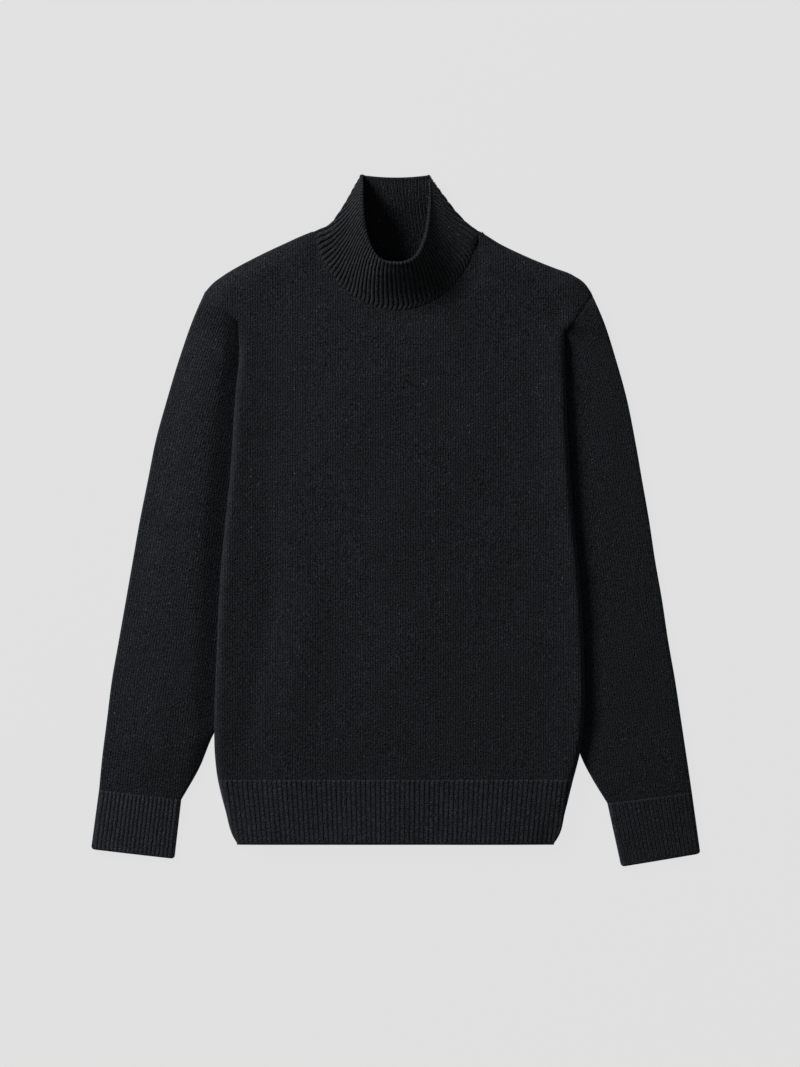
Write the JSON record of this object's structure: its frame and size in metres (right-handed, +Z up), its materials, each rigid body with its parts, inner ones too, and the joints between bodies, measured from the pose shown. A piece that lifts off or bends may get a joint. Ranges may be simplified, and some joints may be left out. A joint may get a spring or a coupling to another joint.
{
  "type": "turtleneck sweater",
  "caption": "Black lambswool turtleneck sweater lying flat, with a ribbed stand-up collar, set-in sleeves laid beside the body, and rib cuffs and hem.",
  "frame": {"origin": "on the surface the sweater lies on, under the middle of its outline", "axes": "+X to the right of someone who looks down on the front, +Y from the hem to the collar, +Z up out of the front"},
  "size_m": [0.6684, 0.76, 0.0478],
  "materials": {
    "plain_knit": "felted plain knit of black lambswool, matt",
    "rib_knit": "1x1 rib knit of the same yarn, matt"
  },
  "bodies": {
    "root": {"front_panel": "plain_knit", "back_panel": "plain_knit", "hem_rib_front": "rib_knit", "hem_rib_back": "rib_knit", "sleeve_left": "plain_knit", "sleeve_right": "plain_knit", "cuff_left": "rib_knit", "cuff_right": "rib_knit", "collar": "rib_knit"}
  },
  "joints": []
}
